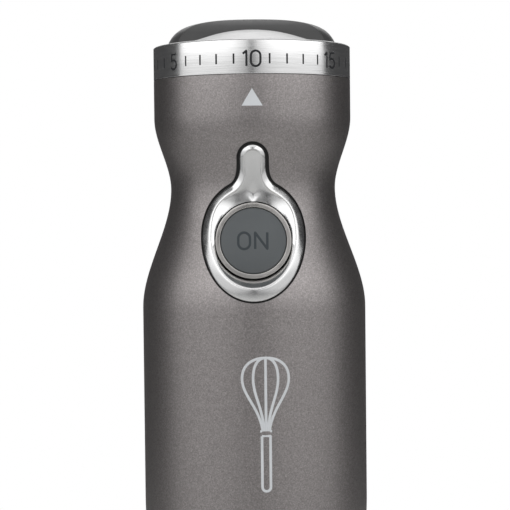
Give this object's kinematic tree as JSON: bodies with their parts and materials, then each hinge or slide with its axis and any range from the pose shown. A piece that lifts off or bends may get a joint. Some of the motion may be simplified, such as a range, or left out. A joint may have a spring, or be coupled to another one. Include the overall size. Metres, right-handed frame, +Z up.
{
  "type": "immersion blender",
  "caption": "Hand-held immersion blender with a turning speed dial, a push button, release levers and a detachable steel blending shaft with a bladed bell.",
  "frame": {"origin": "on the blender's axis in the plane of the bell's rim", "axes": "+Z up the axis from the bell to the dial, -Y towards the ON button, +X to the right seen from the button's side"},
  "size_m": [0.0652, 0.0652, 0.4041],
  "materials": {
    "body_lacquer": "warm grey metallic lacquer with a fine flake, satin gloss",
    "brushed_ring": "fine turned brushing round the axis",
    "bright_trim": "polished, slightly satin",
    "dark_gloss": "glossy dark grey",
    "soft_grey": "matt soft-touch grey",
    "satin_ring": "satin metallic",
    "black_plastic": "fine moulded texture",
    "black_rubber": "matt",
    "natural_nylon": "moulded nylon",
    "stainless_tube": "fine brushing along the tube",
    "polished_steel": "ground and polished",
    "bearing_steel": "ground",
    "spring_steel": "drawn wire",
    "core_laminations": "stacked laminations",
    "copper_winding": "enamelled copper wire",
    "commutator_copper": "turned copper bars",
    "brass_part": "plain brass",
    "carbon": "pressed carbon",
    "board_green": "solder-masked board",
    "capacitor_case": "moulded case",
    "heatsink_metal": "extruded"
  },
  "bodies": {
    "housing": {"housing_shell": "body_lacquer", "bezel_gasket": "black_rubber", "button_bezel": "bright_trim", "lower_collar": "black_plastic", "trim_band": "bright_trim", "coupling_socket": "black_plastic", "shaft_seal": "black_rubber", "lever_pins": "bearing_steel", "chassis_front": "natural_nylon", "chassis_rear": "natural_nylon", "chassis_screws": "bearing_steel", "stator_core": "core_laminations", "field_coils": "copper_winding", "upper_bracket": "natural_nylon", "motor_bearings": "bearing_steel", "brush_holders": "brass_part", "carbon_brushes": "carbon", "brush_springs": "spring_steel", "board_frame": "natural_nylon", "control_board": "board_green", "filter_capacitor": "capacitor_case", "triac_heatsink": "heatsink_metal", "terminal_block": "natural_nylon", "button_switch": "black_plastic", "button_guide": "natural_nylon", "cord_gland": "black_rubber", "cord_clamp": "natural_nylon", "clamp_screws": "bearing_steel", "top_deck": "natural_nylon", "speed_potentiometer": "black_plastic", "pot_nut": "brass_part", "detent_ring": "natural_nylon"},
    "dial": {"dial_knob": "brushed_ring", "dial_grip": "dark_gloss", "dial_spindle": "bearing_steel", "detent_spring": "spring_steel"},
    "on_button": {"button_pad": "soft_grey", "button_rim": "satin_ring", "button_stem": "natural_nylon", "button_spring": "spring_steel"},
    "lever_right": {"release_lever_right": "dark_gloss", "lever_spring_right": "spring_steel"},
    "lever_left": {"release_lever_left": "dark_gloss", "lever_spring_left": "spring_steel"},
    "rotor": {"rotor_shaft": "bearing_steel", "armature_core": "core_laminations", "armature_windings": "copper_winding", "commutator": "commutator_copper", "cooling_fan": "black_plastic", "drive_dog": "black_plastic"},
    "blending_shaft": {"shaft_collar": "black_plastic", "shaft_tube": "stainless_tube", "blade_bell": "stainless_tube", "upper_bush": "brass_part", "lower_bush": "brass_part", "bell_seal": "black_rubber"},
    "blade_drive": {"drive_shaft": "bearing_steel", "driven_coupler": "black_plastic", "blade": "polished_steel", "blade_nut": "polished_steel"}
  },
  "joints": [
    {"name": "dial_turn", "type": "hinge", "parent": "housing", "child": "dial", "pos_m": [0, 0, 0.39], "axis": [0, 0, 1], "range_deg": [-100, 90]},
    {"name": "on_button_press", "type": "slide", "parent": "housing", "child": "on_button", "axis": [0, 1, 0], "range_m": [0, 0.002], "stiffness_N_per_m": 800, "springref_m": -0.002, "deforming": ["button_spring"]},
    {"name": "release_right_press", "type": "hinge", "parent": "housing", "child": "lever_right", "pos_m": [0.0211, 0, 0.211], "axis": [0, -1, 0], "range_deg": [0, 6], "stiffness_Nm_per_rad": 0.3, "springref_deg": -5.73, "deforming": ["lever_spring_right"]},
    {"name": "release_left_press", "type": "hinge", "parent": "housing", "child": "lever_left", "pos_m": [-0.0211, 0, 0.211], "axis": [0, 1, 0], "range_deg": [0, 6], "stiffness_Nm_per_rad": 0.3, "springref_deg": -5.73, "deforming": ["lever_spring_left"]},
    {"name": "rotor_spin", "type": "hinge", "parent": "housing", "child": "rotor", "pos_m": [0, 0, 0.25], "axis": [0, 0, 1], "continuous": true},
    {"name": "shaft_detach", "type": "slide", "parent": "housing", "child": "blending_shaft", "axis": [0, 0, -1], "range_m": [0, 0.06]},
    {"name": "blade_spin", "type": "hinge", "parent": "blending_shaft", "child": "blade_drive", "pos_m": [0, 0, 0.014], "axis": [0, 0, 1], "continuous": true}
  ],
  "couplings": [
    {"joint": "blade_spin", "follows": "rotor_spin", "ratio": 1}
  ]
}
